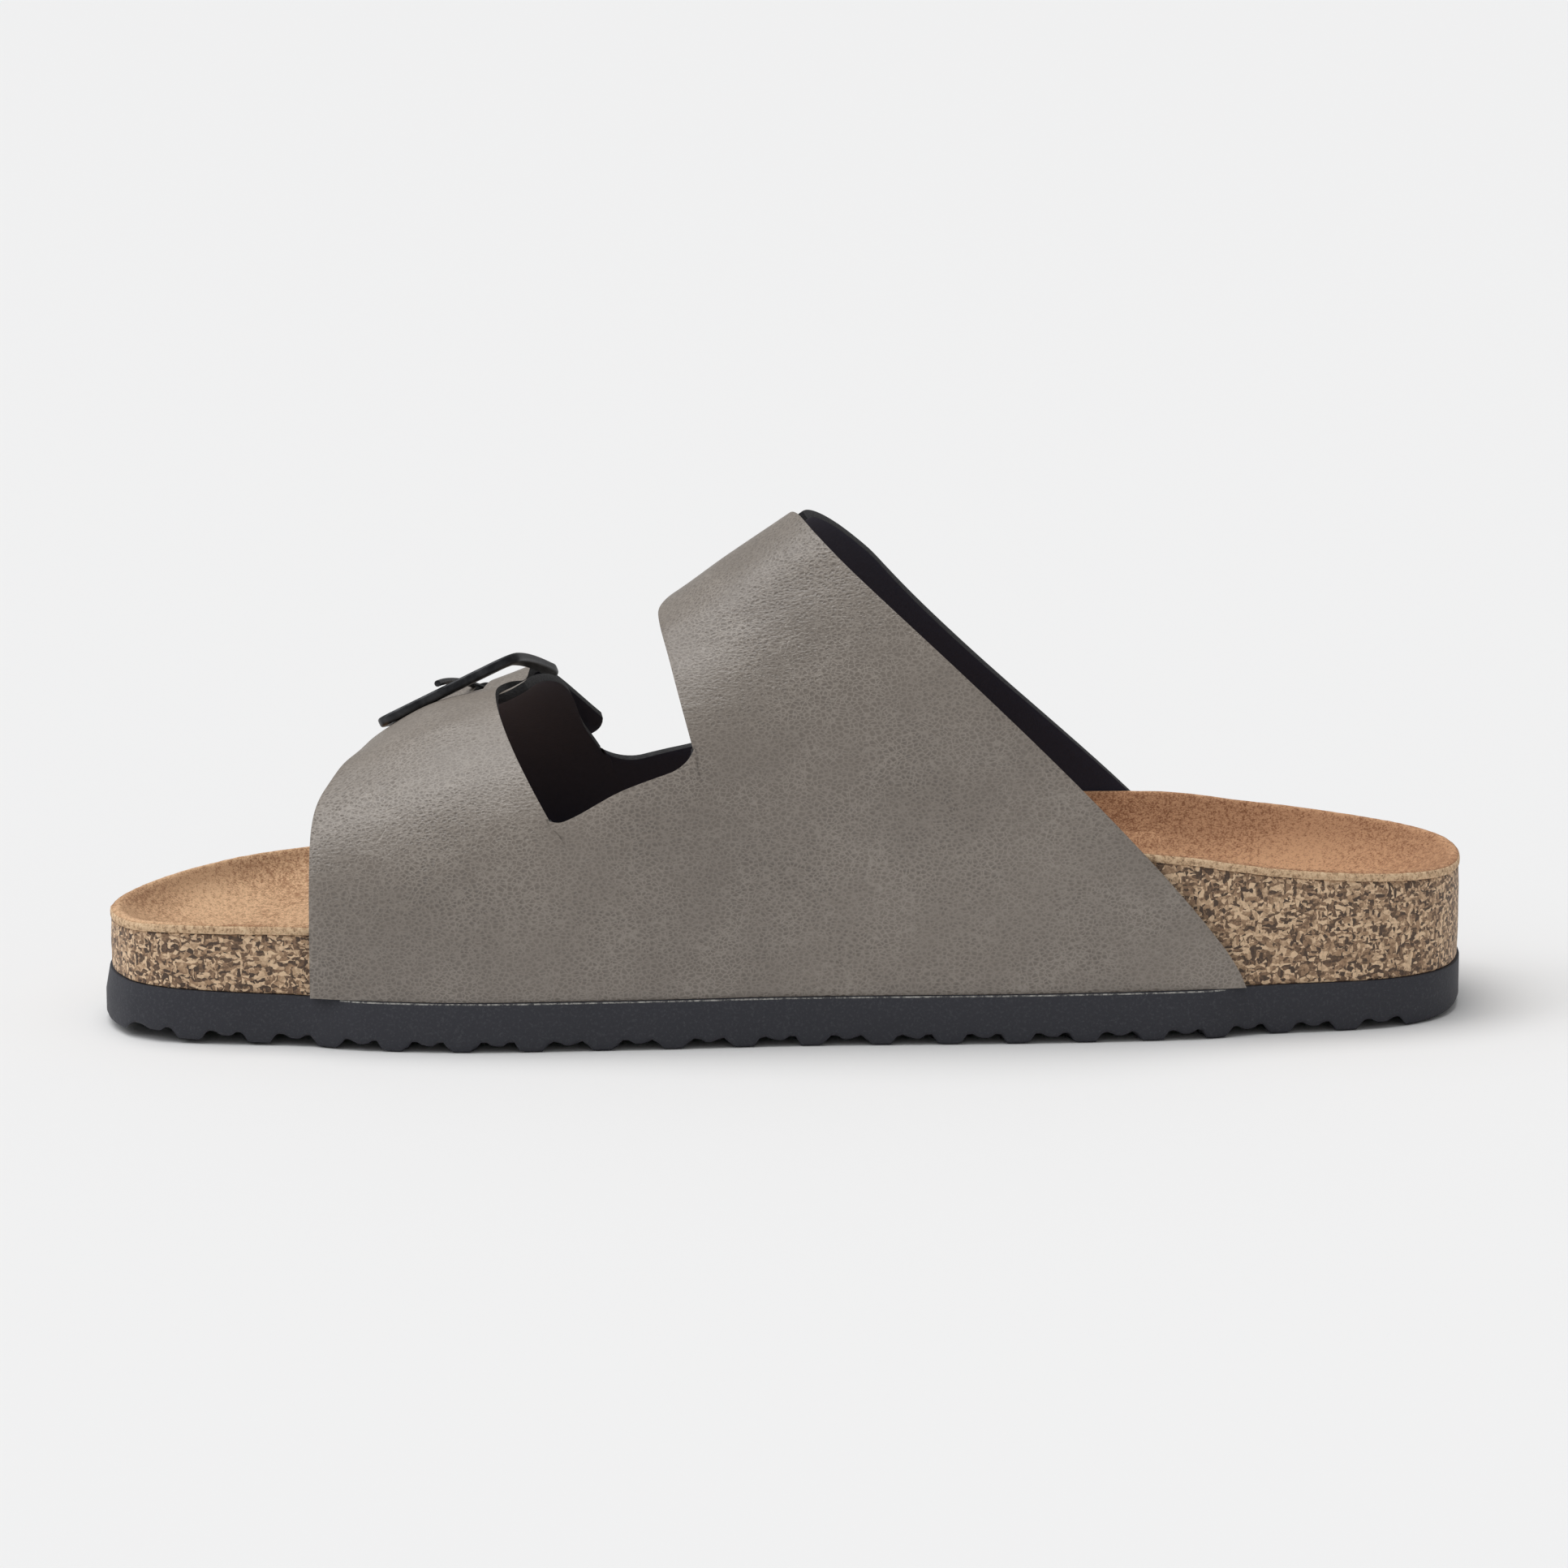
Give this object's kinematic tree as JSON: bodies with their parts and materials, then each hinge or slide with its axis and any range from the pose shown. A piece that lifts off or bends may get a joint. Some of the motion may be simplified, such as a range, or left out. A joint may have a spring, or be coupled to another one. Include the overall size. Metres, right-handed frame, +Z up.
{
  "type": "sandal",
  "caption": "Open slip-on sandal with a contoured cork footbed, suede insole and ribbed foam outsole, held on by wide smooth straps across the foot that adjust at prong buckles.",
  "frame": {"origin": "On the floor plane under the tread, at the centre of the shoe's length and width.", "axes": "+X runs from the toe to the heel, +Y to the outer side of the foot, +Z up from the floor."},
  "size_m": [0.2684, 0.1019, 0.0999],
  "materials": {
    "taupe_leather": "smooth leather-look, satin",
    "tan_suede": "napped suede, matt",
    "cork": "sealed cork granules",
    "black_foam": "matt foam rubber",
    "black_metal": "dark gunmetal, satin"
  },
  "bodies": {
    "root": {"upper": "taupe_leather", "insole": "tan_suede", "footbed": "cork", "outsole": "black_foam", "front_buckle": "black_metal", "rear_buckle": "black_metal", "front_prong": "black_metal", "rear_prong": "black_metal"}
  },
  "joints": []
}
